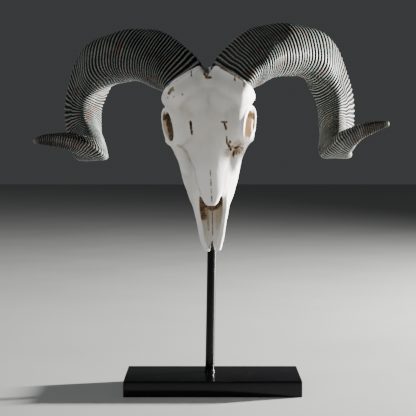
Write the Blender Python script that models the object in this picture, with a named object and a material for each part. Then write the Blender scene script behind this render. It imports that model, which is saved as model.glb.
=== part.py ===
"""A ram's skull with both horns, held on a round rod over a flat rectangular base.

World frame: X to the viewer's right (the animal's left), Y away from the viewer, Z up, with the
origin in the middle of the base's underside. Lengths below are in millimetres, angles in degrees.

The bones are shaped as one smooth solid, from rounded masses that blend into each other and
hollows cut out of them, and then parted along their sutures. Bone frame: the nose points down,
x runs outward on both sides, y away from the viewer (height above the palate is -y), and z up
from the nose end to the poll.
"""

import math

import bmesh
import bpy
import numpy as np
from mathutils import Matrix, Vector

MM = 0.001
GAP = 0.3  # between solids that touch

# Stand
BASE_WIDTH, BASE_DEPTH, BASE_HEIGHT, BASE_BEVEL = 265, 130, 24, 1.2
ROD_RADIUS = 7
ROD_FOOT = (-4.4, 16)  # x, y on top of the base
ROD_LEAN = 1.05  # towards +X
ROD_LENGTH = 414
COLLAR_RADIUS, COLLAR_HEIGHT = 8.8, 4

# Where the head is held
NOSE_POINT = (-0.5, -4, 214)  # the front end of the palate
HEAD_ROLL = 1.5  # the poll leans towards -X
SKULL_PITCH = 8  # the nose points towards the viewer

# Outline of the face from the nose end to the poll: z, then the value there
TOP_HEIGHT = ((-6, 8), (0, 9), (20, 14), (40, 21), (56, 29), (68, 38), (80, 50), (100, 62), (125, 74),
              (150, 85), (175, 93), (200, 99), (225, 102), (245, 100), (258, 93), (268, 80))
SHELF_HALF = ((0, 8), (20, 12), (40, 14), (66, 15.5), (80, 16), (110, 18), (135, 20), (155, 26), (175, 40),
              (200, 48), (230, 40), (268, 30))
WIDEST_HALF = ((-6, 11), (0, 13), (15, 16.5), (31, 20.5), (48, 24), (66, 28), (78, 33), (89, 36.5),
               (101, 40.5), (124, 45), (150, 47), (185, 46), (215, 44), (268, 34))
WIDEST_HEIGHT = ((0, 4), (31, 6), (66, 12), (78, 17), (101, 24), (124, 30), (150, 40), (185, 52),
                 (230, 60), (268, 60))
NASAL_HEIGHT = ((60, 44), (68, 47), (80, 52.5), (100, 63), (125, 75), (150, 85.5), (170, 92))
NASAL_HALF = ((62, 3), (64.5, 7), (70, 11.5), (78, 15), (99, 20), (118, 23.5), (128, 28), (140, 34),
              (148, 39), (165, 44))
NASAL_ARCH = ((60, 8), (118, 8), (128, 6.9), (140, 5), (148, 3.4), (165, 2.8))
NASAL_THICKNESS = 6
NASAL_ENDS = (63, 170)  # z of the free tips and of the rear end
PALATE_HALF = ((-6, 9), (0, 11), (31, 17), (48, 20), (66, 23), (78, 27), (101, 33), (124, 37), (150, 37),
               (168, 24), (190, 16), (268, 14))
BELLY_HEIGHT = ((-6, 0), (155, 0), (175, 8), (200, 14), (268, 18))  # underside of palate and braincase

# Horns: angle round the curl (0 at its top, 90 at its back), then the middle line's place from the
# nose point, x outward. The two differ a little: the right horn's end hangs lower.
HORN_PATHS = {
    "horn_left": (
        (-72, 33, -39, 248), (-67, 37, -37, 254), (-44, 61, -19, 275), (-21, 90, 6, 291), (0, 118, 33, 299),
        (34, 160, 75, 289), (58, 183, 97, 267), (78, 198, 107, 241), (100, 206, 108, 212), (120, 205, 99, 186),
        (147, 199, 74, 161), (180, 194, 33, 149), (205, 197, 1, 155), (219, 209, -15, 166),
        (231, 231, -26, 177), (236, 246, -30, 181), (242, 268, -34, 184),
    ),
    "horn_right": (
        (-72, 34, -39, 248), (-67, 38, -37, 254), (-44, 61, -19, 273), (-21, 89, 6, 289), (0, 116, 33, 297),
        (34, 160, 75, 284), (58, 182, 97, 265), (78, 196, 107, 242), (100, 203, 108, 215), (120, 201, 99, 191),
        (147, 190, 74, 166), (180, 180, 33, 155), (205, 185, 1, 162), (219, 204, -15, 170),
        (231, 231, -26, 174), (236, 245, -30, 174), (242, 262, -34, 171),
    ),
}
HORN_WIDTH = ((-72, 74), (0, 72), (34, 69), (78, 60), (120, 55), (147, 52), (180, 47), (205, 38), (219, 31),
              (231, 22), (238, 14), (242, 6))
HORN_DEPTH = ((-72, 70), (-44, 71), (-21, 76), (0, 83), (34, 80), (78, 65), (120, 53), (147, 46), (180, 39),
              (205, 32), (219, 26), (231, 18), (238, 12), (242, 6))
# The keels of the horn's section: angle round the curl, then the keel's direction in the section and its
# distance. Direction 0 is outward along the width, 90 outward along the depth.
HORN_KEELS = (
    ((-72, 46, 0.70), (-46, 40, 0.68), (-34, 30, 0.67), (-14, 18, 0.66), (0, 14, 0.66), (18, 14, 0.67),
     (33, 18, 0.68), (77, 28, 0.70), (127, 33, 0.71), (180, 34, 0.72)),
    ((-72, 90, 0.40), (-34, 88, 0.42), (-14, 90, 0.44), (0, 90, 0.465), (18, 88, 0.52), (33, 80, 0.575),
     (50, 70, 0.54), (77, 66, 0.45), (127, 75, 0.41), (180, 90, 0.40)),
    ((-72, 146, 0.72), (180, 146, 0.72)),
    ((-72, 244, 0.48), (24, 244, 0.48), (45, 238, 0.49), (77, 226, 0.52), (127, 222, 0.52), (180, 244, 0.48)),
    ((-72, 300, 0.48), (-46, 300, 0.47), (-23, 296, 0.46), (0, 280, 0.44), (24, 272, 0.43), (45, 264, 0.44),
     (77, 250, 0.48), (127, 245, 0.49), (180, 270, 0.43)),
    ((-72, 352, 0.42), (-40, 352, 0.55), (-23, 345, 0.60), (1, 330, 0.65), (24, 318, 0.64), (45, 299, 0.58),
     (77, 276, 0.52), (127, 268, 0.50), (146, 280, 0.48), (180, 296, 0.48)),
)
HORN_EDGE_SHARPNESS = 4
SECTION_HEIGHT = 0.82  # across the depth, of a section about 1 wide
HORN_RINGS, HORN_SIDES = 37, 18

# The plane each horn's root rests on, in the bone frame, and how far the bone stands past it
SEAT_POINT, SEAT_NORMAL, SEAT_RIM = (33, -73, 240), (0.53, 0.156, 0.83), 2.5
# The bone's rim round the horn's root: how thick, how far up the horn, and how far down from its seat
HORN_RIM, RIM_REACH, RIM_DEPTH = 2.0, 2.6, 22

# Nose opening: z and the half width or the floor's height there, the z where it ends under the nasal
# bones, the z where the passage behind it ends, and how far the passage's roof is below the nasal bones
NOSE_OPENING_TOP, NOSE_PASSAGE_TOP, NOSE_ROOF = 78, 125, 9
NOSE_ROOM = ((-6, 2), (4, 6.5), (12, 9.5), (22, 11.5), (40, 14), (64, 17), (76, 16.5), (86, 14), (130, 12))
NOSE_FLOOR = ((-6, 3), (4, 4), (40, 6), (130, 12))

# Eye socket: the middle of its opening, the way it faces, and its radii upward and across
SOCKET, SOCKET_FACING, SOCKET_RADII = (60, -63, 180), (0.93, -0.32, -0.20), (26.5, 26)

SKULL_GRID = 2.2
SKULL_FACES = 4640

# Sutures: z at the palate and how much z changes per unit of height above it
FRONT_SUTURE = (46, 0.95)  # between the premaxilla and the maxilla
REAR_SUTURE = (163, -0.41)  # between the maxilla and the cranium
SUTURE_LIMITS = (-84, 40)  # y limits of the pieces cut there
NASAL_CUT = ((56, 4), (62, 8), (66, 12), (78, 16.5), (100, 20.5), (118, 22), (140, 19), (152, 13), (160, 4))
FAR = 130  # beyond the skull on any side


# Smooth shapes as distance fields: negative inside

def curve(stations, t):
    """A smooth curve through stations, flat past its ends."""
    keys = np.array([s[0] for s in stations], float)
    values = np.array([s[1] for s in stations], float)
    slopes = np.gradient(values, keys)
    t = np.clip(t, keys[0], keys[-1])
    i = np.clip(np.searchsorted(keys, t) - 1, 0, len(keys) - 2)
    span = keys[i + 1] - keys[i]
    u = (t - keys[i]) / span
    rise = values[i + 1] - values[i]
    start, end = slopes[i] * span, slopes[i + 1] * span
    return values[i] + u * (start + u * (3 * rise - 2 * start - end + u * (start + end - 2 * rise)))


def blend(a, b, radius):
    """The union of two fields, with a fillet."""
    h = np.clip(0.5 + 0.5 * (b - a) / radius, 0, 1)
    return b + h * (a - b) - radius * h * (1 - h)


def carve(a, b, radius):
    """Field a with b cut out of it, with rounded edges."""
    return -blend(-a, b, radius)


def meet(a, b, radius):
    """What two fields share, with a rounded edge."""
    return -blend(-a, -b, radius)


def ellipsoid(p, centre, radii):
    d = [(c - o) / r for c, o, r in zip(p, centre, radii)]
    k0 = np.sqrt(d[0] ** 2 + d[1] ** 2 + d[2] ** 2)
    k1 = np.sqrt(sum((c / r) ** 2 for c, r in zip(d, radii)))
    return k0 * (k0 - 1) / np.maximum(k1, 1e-6)


def limb(p, start, end, r0, r1, flatten=(1, 1, 1)):
    """A tapering round bar; flatten stretches it along an axis."""
    a = [s / f for s, f in zip(start, flatten)]
    b = [e / f for e, f in zip(end, flatten)]
    q = [c / f for c, f in zip(p, flatten)]
    ab = [e - s for s, e in zip(a, b)]
    length2 = sum(c * c for c in ab)
    h = np.clip(sum((c - s) * e for c, s, e in zip(q, a, ab)) / length2, 0, 1)
    gap = np.sqrt(sum((c - s - h * e) ** 2 for c, s, e in zip(q, a, ab)))
    return (gap - (r0 + (r1 - r0) * h)) * min(flatten)


def limb_chain(p, knots, radius, flatten=(1, 1, 1)):
    """Bars from knot to knot; a knot is x, y, z and its radius."""
    field = None
    for (*a, ra), (*b, rb) in zip(knots, knots[1:]):
        bar = limb(p, a, b, ra, rb, flatten)
        field = bar if field is None else blend(field, bar, radius)
    return field


def socket_frame(p):
    """Distance from the middle of the eye socket's opening, 1 on its rim, and distance out of its plane."""
    n = Vector(SOCKET_FACING).normalized()
    up = (Vector((0, 0, 1)) - n * n.z).normalized()
    side = n.cross(up)
    q = [c - o for c, o in zip(p, SOCKET)]
    along = sum(c * a for c, a in zip(q, up)) / SOCKET_RADII[0]
    across = sum(c * a for c, a in zip(q, side)) / SOCKET_RADII[1]
    return np.sqrt(along ** 2 + across ** 2), sum(c * a for c, a in zip(q, n))


def horn_root(p):
    """The horn's own section at its root, as a field, and the distance along the horn from there."""
    x, y, z = p
    turn = math.radians(SKULL_PITCH)
    p = (x, y * math.cos(turn) + z * math.sin(turn), z * math.cos(turn) - y * math.sin(turn))
    path = HORN_PATHS["horn_left"]
    angle = path[0][0]
    middle, along, wide, out = horn_frame(path, angle)
    q = [c - o for c, o in zip(p, middle)]
    width, depth = HORN_WIDTH[0][1], HORN_DEPTH[0][1] / SECTION_HEIGHT
    u = sum(c * o for c, o in zip(q, wide)) / width
    v = sum(c * o for c, o in zip(q, out)) / depth
    wall = (np.sqrt(u * u + v * v) - horn_section(np.arctan2(v, u), angle)) * min(width, depth)
    return wall, sum(c * o for c, o in zip(q, along))


def face_body(p):
    """The long wedge of the face and the core of the braincase, from the outline curves."""
    x, y, z = p
    height = -y
    top = curve(TOP_HEIGHT, z)
    shelf, widest, palate = curve(SHELF_HALF, z), curve(WIDEST_HALF, z), curve(PALATE_HALF, z)
    widest_at, belly = curve(WIDEST_HEIGHT, z), curve(BELLY_HEIGHT, z)
    up = np.clip((height - widest_at) / np.maximum(top - widest_at, 1), 0, 1)
    down = np.clip((widest_at - height) / np.maximum(widest_at - belly, 1), 0, 1)
    side = np.where(height > widest_at, shelf + (widest - shelf) * (1 - up ** 1.25),
                    palate + (widest - palate) * np.sqrt(1 - down ** 2))
    roof = height - top + 5 * (x / np.maximum(shelf, 1)) ** 2
    wall = (x - side) * 0.88
    return meet(meet(meet(roof, wall, 7), belly - height, 5), np.maximum(-4 - z, z - 262), 6)


def nasal_roof(p):
    """The bridge of the nose: a thin arched plate that narrows to the nasal bones' rounded end."""
    x, y, z = p
    middle = curve(NASAL_HEIGHT, z) - NASAL_THICKNESS / 2 - curve(NASAL_ARCH, z) * (x / 20) ** 2
    skin = np.abs(-y - middle) - NASAL_THICKNESS / 2
    edge = (x - curve(NASAL_HALF, z)) * 0.9
    return meet(skin, np.maximum(edge, np.maximum(NASAL_ENDS[0] - z, z - NASAL_ENDS[1])), 4)


def nose_room(p):
    """The nose opening, and the passage behind it under the nasal bones."""
    x, y, z = p
    walls = (x - curve(NOSE_ROOM, z)) * 0.95
    floor = curve(NOSE_FLOOR, z) + y
    opening = meet(meet(walls, floor, 3), z - NOSE_OPENING_TOP, 6)
    under = meet(NOSE_ROOF - y - curve(NASAL_HEIGHT, z), z - NOSE_PASSAGE_TOP, 6)
    return np.minimum(opening, meet(meet(walls, floor, 4), under, 4))


def skull_field(p):
    """The whole skull with its hollows, on one side of the midline (x is taken outward)."""
    f = face_body(p)
    # frontal bones: the broad brow between the eyes
    f = blend(f, ellipsoid(p, (0, -72, 205), (58, 26, 50)), 10)
    f = blend(f, ellipsoid(p, (39, -74, 190), (20.5, 18, 37)), 9)
    f = blend(f, ellipsoid(p, (33, -80, 226), (27, 24, 20)), 8)
    f = blend(f, ellipsoid(p, (44, -84, 218), (19, 20, 17)), 9)
    f = blend(f, ellipsoid(p, (0, -82, 240), (24, 25, 27)), 10)
    # body of the sphenoid bone, which the rod enters
    f = blend(f, ellipsoid(p, (0, -13, 216), (14, 15, 24)), 6)
    # walls of the eye socket
    f = blend(f, ellipsoid(p, (46, -58, 180), (14, 24, 31)), 8)
    f = blend(f, ellipsoid(p, (55, -41, 197), (12, 6, 19)), 5)
    f = blend(f, limb(p, (46, -64, 212), (63, -44, 206), 8, 4.5), 5)
    # eye socket rim, cheek bone and its arch
    f = blend(f, limb(p, (40, -58, 154), (35, -44, 122), 13, 9), 10)
    reach, out = socket_frame(p)
    f = blend(f, np.sqrt(((reach - 1) * min(SOCKET_RADII)) ** 2 + out ** 2) - 2.4, 4)
    f = blend(f, limb_chain(p, ((38, -32, 120, 5), (46, -38, 145, 6), (60, -41, 164, 5), (62, -40, 200, 3.5),
                                (56, -42, 226, 5), (44, -42, 246, 7)), 6, (0.8, 1.2, 1)), 5)
    # braincase, nuchal crest and condyles
    f = blend(f, ellipsoid(p, (0, -52, 226), (35, 42, 40)), 8)
    f = blend(f, limb(p, (0, -56, 256), (32, -44, 248), 9, 7), 8)
    f = blend(f, ellipsoid(p, (12, -20, 255), (9, 11, 12)), 6)
    f = blend(f, limb(p, (27, -42, 246), (30, 0, 241), 10, 3.5), 7)
    f = blend(f, ellipsoid(p, (20, -12, 228), (9, 10, 13)), 5)
    f = blend(f, limb(p, (10, -16, 205), (15, 4, 182), 4, 3), 5)
    # premaxillae beside the nose opening
    f = blend(f, limb_chain(p, ((9.5, -6, 2, 4.5), (14.5, -10, 20, 4.5), (18, -16, 42, 4.7), (21, -25, 62, 4.5),
                                (23, -35, 82, 2.5)), 0.5), 5)
    # nose opening, the ridge on its floor, and the nasal bones reaching free over it
    f = carve(f, nose_room(p), 1.5)
    f = blend(f, limb(p, (0, -2, 16), (0, -11, 96), 1.2, 1.6), 3)
    f = blend(f, nasal_roof(p), 2.5)
    # eye socket, with its rim trimmed flat
    f = carve(f, meet((reach - 1.08) * min(SOCKET_RADII), 1 - out, 1), 1.5)
    f = carve(f, ellipsoid(p, (66, -65, 180), (31, 20.5, 23)), 1.6)
    # groove above the eye, and the crease from the socket down to the nasal bone
    f = carve(f, limb_chain(p, ((31, -112, 214, 3), (26, -104.5, 192, 4), (24.5, -96, 170, 2)), 3), 5)
    f = carve(f, limb_chain(p, ((49, -73, 149, 1.6), (42, -75, 148, 2.2), (36.5, -71, 141, 2.8),
                                (31.5, -65, 128, 2.4), (26.5, -61.5, 114, 1.6), (23, -55, 96, 1.0)), 2), 3)
    # temporal hollow behind the socket
    f = carve(f, ellipsoid(p, (50, -60, 225), (12, 14, 13)), 4)
    # boss at each horn's root, the bone round the horn, and the notch between the bosses
    past_seat = sum((c - o) * n for c, o, n in zip(p, SEAT_POINT, SEAT_NORMAL)) - SEAT_RIM
    f = blend(f, meet(limb(p, (17, -80, 218), (34, -74, 246), 26, 35), past_seat, 4), 8)
    wall, past = horn_root(p)
    f = blend(f, meet(meet(wall - HORN_RIM, past - RIM_REACH, 2), -past - RIM_DEPTH, 10), 10)
    f = blend(f, limb(p, (44, -78, 232), (59, -76, 219), 13, 9.5), 7)
    f = carve(f, ellipsoid(p, (0, -100, 271), (9.5, 26, 19)), 8)
    # palate vault, rear nose openings, and the opening for the spine
    f = carve(f, limb(p, (0, 14, 20), (0, 18, 160), 13, 21), 4)
    f = carve(f, limb(p, (0, 4, 168), (0, -8, 192), 10, 7), 4)
    f = carve(f, limb(p, (0, -26, 240), (0, -24, 290), 9, 10), 3)
    # edge of the upper jaw
    f = blend(f, limb_chain(p, ((24, -1, 78, 5), (31, 0, 115, 6.5), (34, 0, 152, 6.5)), 4, (0.8, 1.3, 1)), 3)
    # gap between the two front ends
    return carve(f, limb(p, (0, -1, -8), (0, -1, 16), 4.2, 0.6, (1, 6, 1)), 1.2)


def close_pinches(field, depth=0.2):
    """Fills the narrow places where the surface would touch itself along an edge of the grid."""
    while True:
        inside = field < 0
        pinched = np.zeros(field.shape, bool)
        for u, v in ((0, 1), (1, 2), (0, 2)):
            next_u, next_v = np.roll(inside, -1, u), np.roll(inside, -1, v)
            across = np.roll(next_u, -1, v)
            odd = (inside == across) & (next_u == next_v) & (inside != next_u)
            odd |= np.roll(odd, 1, u)
            pinched |= odd | np.roll(odd, 1, v)
        pinched &= ~inside
        if not pinched.any():
            return field
        field[pinched] = -depth


def surface_net(field, corner, step):
    """Points and four-sided faces of the surface where field is zero."""
    pairs, spots, turned = [], [], []
    shape = tuple(n - 1 for n in field.shape)
    for axis in range(3):
        low = field[tuple(slice(0, -1) if a == axis else slice(None) for a in range(3))]
        high = field[tuple(slice(1, None) if a == axis else slice(None) for a in range(3))]
        at = np.argwhere((low < 0) != (high < 0))
        a, b = low[tuple(at.T)], high[tuple(at.T)]
        spot = at.astype(float)
        spot[:, axis] += a / (a - b)
        cells = []
        for u, v in ((-1, -1), (0, -1), (0, 0), (-1, 0)):
            cell = at.copy()
            cell[:, (axis + 1) % 3] += u
            cell[:, (axis + 2) % 3] += v
            cells.append(np.ravel_multi_index(tuple(cell.T), shape))
        pairs.append(np.stack(cells, 1))
        spots.append(spot)
        turned.append(a >= 0)
    pairs, spots, turned = np.concatenate(pairs), np.concatenate(spots), np.concatenate(turned)
    cells, corners = np.unique(pairs, return_inverse=True)
    corners = corners.reshape(-1, 4)
    count = np.bincount(corners.ravel(), minlength=len(cells))
    points = np.stack([np.bincount(corners.ravel(), np.repeat(spots[:, k], 4)) / count for k in range(3)], 1)
    corners[turned] = corners[turned][:, ::-1]
    return points * step + np.array(corner), corners


def mirrored_field(shape_of, reach, lowest, highest, step):
    """shape_of on a grid over both sides, from one side's values, with the grid's lowest corner."""
    half = np.arange(0, reach + step, step)
    y = np.arange(lowest[0], highest[0], step)
    z = np.arange(lowest[1], highest[1], step)
    side = shape_of(np.meshgrid(half, y, z, indexing="ij"))
    return close_pinches(np.concatenate((side[:0:-1], side))), (-half[-1], lowest[0], lowest[1])


# Blender objects

def material(name, colour, roughness, metallic=0.0):
    made = bpy.data.materials.new(name)
    made.use_nodes = True
    shader = made.node_tree.nodes["Principled BSDF"]
    shader.inputs["Base Color"].default_value = (*colour, 1)
    shader.inputs["Roughness"].default_value = roughness
    shader.inputs["Metallic"].default_value = metallic
    return made


def add_object(name, mesh, look=None, parent=None):
    made = bpy.data.objects.new(name, mesh)
    bpy.context.collection.objects.link(made)
    if look:
        mesh.materials.append(look)
    made.parent = parent
    return made


def mesh_of(name, points, faces):
    """A mesh from points in millimetres."""
    made = bpy.data.meshes.new(name)
    made.from_pydata([tuple(c * MM for c in p) for p in points], [], [tuple(f) for f in faces])
    return made


def evaluated_mesh(made):
    """The mesh that an object's modifiers leave."""
    bpy.context.view_layer.update()
    return bpy.data.meshes.new_from_object(made.evaluated_get(bpy.context.evaluated_depsgraph_get()))


def as_cutter(made):
    made.hide_render = True
    made.display_type = "WIRE"
    return made


def add_boolean(made, cutter, operation="DIFFERENCE"):
    step = made.modifiers.new("cut", "BOOLEAN")
    step.operation = operation
    step.object = cutter
    step.solver = "EXACT"


def cutter(name, points, faces, parent):
    """A closed cutter with its faces turned outward."""
    mesh = mesh_of(name, points, faces)
    shape = bmesh.new()
    shape.from_mesh(mesh)
    bmesh.ops.recalc_face_normals(shape, faces=shape.faces)
    shape.to_mesh(mesh)
    shape.free()
    return as_cutter(add_object(name, mesh, parent=parent))


def block(name, x, y, low, high, parent):
    """A cutter between x and y limits. low and high give z at the two y limits."""
    points = [(a, b, z) for a in x for b, zs in zip(y, zip(low, high)) for z in zs]
    faces = ((0, 1, 3, 2), (4, 6, 7, 5), (0, 4, 5, 1), (2, 3, 7, 6), (0, 2, 6, 4), (1, 5, 7, 3))
    return cutter(name, points, faces, parent)


def nasal_block(name, inner, grow, parent):
    """A cutter round one nasal bone (inner on the midline's side) or both (inner is None)."""
    points = []
    for z, half in NASAL_CUT:
        under = -float(curve(NASAL_HEIGHT, z)) + NASAL_THICKNESS + 3 + grow
        left = -half - grow if inner is None else inner
        right = half + grow if inner is None or inner > 0 else -half - grow
        points += [(left, -FAR, z), (right, -FAR, z), (right, under, z), (left, under, z)]
    faces = [(0, 1, 2, 3), tuple(len(points) - k for k in (1, 2, 3, 4))]
    for i in range(0, len(points) - 4, 4):
        faces += [(i + k, i + 4 + k, i + 4 + (k + 1) % 4, i + (k + 1) % 4) for k in range(4)]
    return cutter(name, points, faces, parent)


def suture(line, limits, offset=0.0):
    """A suture's z at two y limits."""
    return [line[0] - line[1] * y + offset for y in limits]


def bar(name, radius, length, sides=32):
    """A round bar's mesh, standing on its origin."""
    shape = bmesh.new()
    bmesh.ops.create_cone(shape, cap_ends=True, segments=sides, radius1=radius * MM, radius2=radius * MM,
                          depth=length * MM, matrix=Matrix.Translation((0, 0, length * MM / 2)))
    made = bpy.data.meshes.new(name)
    shape.to_mesh(made)
    shape.free()
    return made


def whole_skull():
    """The skull's mesh before it is parted, thinned to its share of faces."""
    field, corner = mirrored_field(skull_field, 84, (-124, -14), (26, 286), SKULL_GRID)
    raw = add_object("raw_skull", mesh_of("raw_skull", *surface_net(field, corner, SKULL_GRID)))
    thin = raw.modifiers.new("thin", "DECIMATE")
    thin.ratio = SKULL_FACES / (2 * len(raw.data.polygons))
    mesh = evaluated_mesh(raw)
    bpy.data.objects.remove(raw)
    return mesh


# Horns

def horn_point(path, angle):
    """The horn's middle line at an angle round the curl, on the +X side."""
    return Vector([float(curve([(s[0], s[k]) for s in path], angle)) for k in (1, 2, 3)])


def horn_frame(path, angle):
    """Middle, direction along the horn, width and outward directions of its section."""
    along = (horn_point(path, angle + 0.5) - horn_point(path, angle - 0.5)).normalized()
    turn = math.radians(angle)
    out = Vector((0, math.sin(turn), math.cos(turn)))
    out = (out - along * along.dot(out)).normalized()
    return horn_point(path, angle), along, along.cross(out), out


def keel_way(keel, angle):
    """A keel's direction in the section at an angle round the curl."""
    return np.radians(curve([k[:2] for k in keel], angle))


def horn_section(way, angle):
    """Distance from the middle to the skin of a horn 1 wide, a shape with rounded keels, in a direction."""
    corners = []
    for keel in HORN_KEELS:
        turn, far = keel_way(keel, angle), curve([(k[0], k[2]) for k in keel], angle)
        corners.append((far * np.cos(turn), far * np.sin(turn)))
    total = 0.0
    for (ax, ay), (bx, by) in zip(corners, corners[1:] + corners[:1]):
        u, v = by - ay, ax - bx
        facing = (np.cos(way) * u + np.sin(way) * v) / (ax * u + ay * v)
        total = total + np.maximum(0.0, facing) ** HORN_EDGE_SHARPNESS
    return total ** (-1 / HORN_EDGE_SHARPNESS)


def ring_ways(angle):
    """Directions for the points of one ring: one on each keel and the others spaced between them."""
    keels = [float(keel_way(keel, angle)) for keel in HORN_KEELS]
    steps = HORN_SIDES // len(keels)
    ways = []
    for here, after in zip(keels, keels[1:] + [keels[0] + 2 * math.pi]):
        ways += [here + (after - here) * k / steps for k in range(steps)]
    return ways


def horn_mesh(name, path, side, grow=0.0):
    """A horn swept along its curl. side is 1 on +X and -1 on the other side."""
    first, last = path[0][0], path[-1][0]
    points = []
    for i in range(HORN_RINGS):
        angle = first + (last - first) * i / (HORN_RINGS - 1)
        middle, along, wide, out = horn_frame(path, angle)
        width, depth = float(curve(HORN_WIDTH, angle)), float(curve(HORN_DEPTH, angle)) / SECTION_HEIGHT
        for way in ring_ways(angle):
            reach = float(horn_section(way, angle))
            arm = reach * (width * math.cos(way) * wide + depth * math.sin(way) * out)
            point = middle + arm + grow * (arm.normalized() - (along if i == 0 else Vector()))
            points.append((side * point.x, point.y, point.z))
    faces = []
    for i in range(HORN_RINGS - 1):
        near, far = i * HORN_SIDES, (i + 1) * HORN_SIDES
        for k in range(HORN_SIDES):
            n = (k + 1) % HORN_SIDES
            faces += [(near + k, far + k, far + n), (near + k, far + n, near + n)]
    faces.append(tuple(range(HORN_SIDES)))
    faces.append(tuple(reversed(range(far, far + HORN_SIDES))))
    if side < 0:
        faces = [tuple(reversed(f)) for f in faces]
    return mesh_of(name, points, faces)


def shade(made):
    made.data.shade_smooth()
    made.data.set_sharp_from_angle(angle=math.radians(40))


def add_empty(name, parent, place, turn):
    made = add_object(name, None, parent=parent)
    made.location = Vector(place) * MM
    made.rotation_euler = [math.radians(t) for t in turn]
    return made


def add_stand(lacquer, look):
    """The base, the rod and the collar round its foot. Returns the room the rod needs."""
    base = add_object("stand_base", bpy.data.meshes.new("stand_base"), lacquer)
    shape = bmesh.new()
    bmesh.ops.create_cube(shape, size=1)
    bmesh.ops.scale(shape, vec=Vector((BASE_WIDTH, BASE_DEPTH, BASE_HEIGHT)) * MM, verts=shape.verts)
    shape.to_mesh(base.data)
    shape.free()
    base.location.z = BASE_HEIGHT * MM / 2
    edge = base.modifiers.new("edge", "BEVEL")
    edge.width = BASE_BEVEL * MM
    edge.segments = 1
    foot = Vector((*ROD_FOOT, BASE_HEIGHT + GAP)) * MM
    rod = add_object("stand_rod", bar("stand_rod", ROD_RADIUS, ROD_LENGTH), look)
    rod.location = foot
    rod.rotation_euler.y = math.radians(ROD_LEAN)
    collar = add_object("stand_collar", bar("stand_collar", COLLAR_RADIUS, COLLAR_HEIGHT), look)
    collar.location = foot
    hole = add_object("collar_hole", bar("collar_hole", ROD_RADIUS + GAP, 2 * COLLAR_HEIGHT))
    hole.location = foot - Vector((0, 0, COLLAR_HEIGHT * MM / 2))
    hole.rotation_euler.y = math.radians(ROD_LEAN)
    socket = add_object("rod_socket", bar("rod_socket", ROD_RADIUS + GAP, ROD_LENGTH + GAP))
    socket.location = foot
    socket.rotation_euler = rod.rotation_euler
    as_cutter(hole)
    add_boolean(collar, hole)
    for made in (rod, collar):
        shade(made)
    return as_cutter(socket)


def add_bones(look, skull, cuts):
    """Parts the skull along its sutures. cuts are what the bones make room for."""
    whole = whole_skull()
    room = nasal_block("nasal_room", None, GAP, skull)
    limits, step = SUTURE_LIMITS, GAP * 1.4
    for side, inner in (("left", GAP / 2), ("right", -GAP / 2)):
        half = (inner, FAR) if inner > 0 else (-FAR, inner)
        front = block(f"front_{side}", half, limits, (-FAR, -FAR), suture(FRONT_SUTURE, limits), skull)
        middle = block(f"middle_{side}", half, limits, suture(FRONT_SUTURE, limits, step),
                       suture(REAR_SUTURE, limits), skull)
        top = nasal_block(f"top_{side}", inner, 0, skull)
        for name, shape, others in (("premaxilla", front, [room]), ("maxilla", middle, [room, cuts[0]]),
                                    ("nasal_bone", top, [])):
            bone = add_object(f"{name}_{side}", whole.copy(), look, skull)
            add_boolean(bone, shape, "INTERSECT")
            for cut in others:
                add_boolean(bone, cut)
    limits = (-FAR, SUTURE_LIMITS[1])
    rear = block("rear", (-FAR, FAR), limits, suture(REAR_SUTURE, limits, step), (3 * FAR, 3 * FAR), skull)
    cranium = add_object("cranium", whole, look, skull)
    add_boolean(cranium, rear, "INTERSECT")
    for cut in (room, *cuts):
        add_boolean(cranium, cut)


def main():
    for old in list(bpy.data.objects):
        bpy.data.objects.remove(old)
    bone = material("bone", (0.80, 0.78, 0.72), 0.65)
    sheath = material("horn_sheath", (0.13, 0.14, 0.125), 0.55)
    lacquer = material("black_lacquer", (0.012, 0.012, 0.014), 0.15)
    rod = material("black_rod", (0.012, 0.012, 0.014), 0.2)

    head = add_empty("head", None, NOSE_POINT, (0, -HEAD_ROLL, 0))
    skull = add_empty("skull", head, (0, 0, 0), (-SKULL_PITCH, 0, 0))
    cuts = [add_stand(lacquer, rod)]
    for name, side in (("horn_left", 1), ("horn_right", -1)):
        path = HORN_PATHS[name]
        shade(add_object(name, horn_mesh(name, path, side), sheath, head))
        seat = horn_mesh(name + "_seat", path, side, 1.2 * GAP)
        cuts.append(as_cutter(add_object(name + "_seat", seat, parent=head)))
    add_bones(bone, skull, cuts)


main()
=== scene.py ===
"""The ram's skull on its stand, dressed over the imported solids.

Bones: one smooth distance field of the whole skull, as fine as the eye can see in the photograph,
parted along wavy sutures into the same bones as the solids. Horns: a sweep along each curl whose
rows follow the ridges. Lengths in the functions are in millimetres, the objects are in metres.
"""

import math

import bmesh
import bpy
import numpy as np
from mathutils import Matrix, Vector


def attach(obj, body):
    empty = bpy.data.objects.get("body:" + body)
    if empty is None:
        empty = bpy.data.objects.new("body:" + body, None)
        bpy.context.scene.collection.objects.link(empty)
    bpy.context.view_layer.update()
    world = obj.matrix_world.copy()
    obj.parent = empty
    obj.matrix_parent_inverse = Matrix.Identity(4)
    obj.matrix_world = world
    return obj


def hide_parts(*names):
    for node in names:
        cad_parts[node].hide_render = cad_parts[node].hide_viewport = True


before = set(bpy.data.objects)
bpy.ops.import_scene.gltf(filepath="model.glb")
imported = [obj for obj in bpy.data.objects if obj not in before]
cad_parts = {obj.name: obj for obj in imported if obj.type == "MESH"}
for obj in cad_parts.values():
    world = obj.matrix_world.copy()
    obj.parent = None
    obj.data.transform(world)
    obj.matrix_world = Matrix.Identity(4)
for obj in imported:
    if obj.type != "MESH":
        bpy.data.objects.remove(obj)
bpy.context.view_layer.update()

MM = 0.001
GRID = 1.06

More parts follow.
